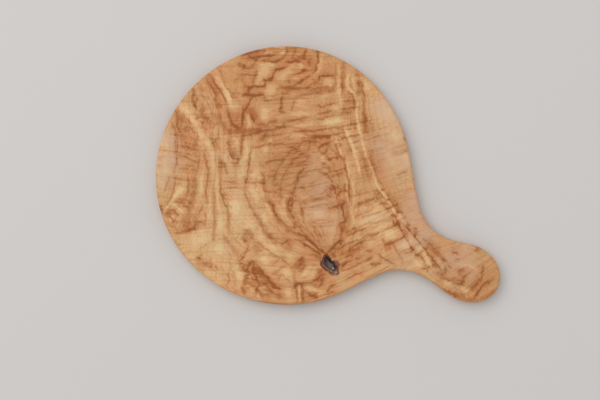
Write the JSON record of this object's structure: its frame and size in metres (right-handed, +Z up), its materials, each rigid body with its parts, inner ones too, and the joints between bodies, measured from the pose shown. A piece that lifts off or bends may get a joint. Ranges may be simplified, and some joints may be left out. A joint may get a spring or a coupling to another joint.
{
  "type": "pizza board",
  "caption": "Round serving board sawn from one olive wood plank, with a flared paddle handle, a rounded rim and a dark natural knot, for cutting and serving pizza.",
  "frame": {"origin": "centre of the round disc on the underside, where the board rests", "axes": "+X from the disc's centre along the handle, +Y to the handle's left seen from above, +Z up out of the serving face"},
  "size_m": [0.4303, 0.3003, 0.018],
  "materials": {
    "olive_wood": "oiled, satin, with strong wavy figure",
    "bark": "dark ingrown bark, matte",
    "knot_wood": "weathered grey dead wood, lightly oiled"
  },
  "bodies": {
    "root": {"board": "olive_wood", "knot_bark": "bark", "knot_core": "knot_wood"}
  },
  "joints": []
}
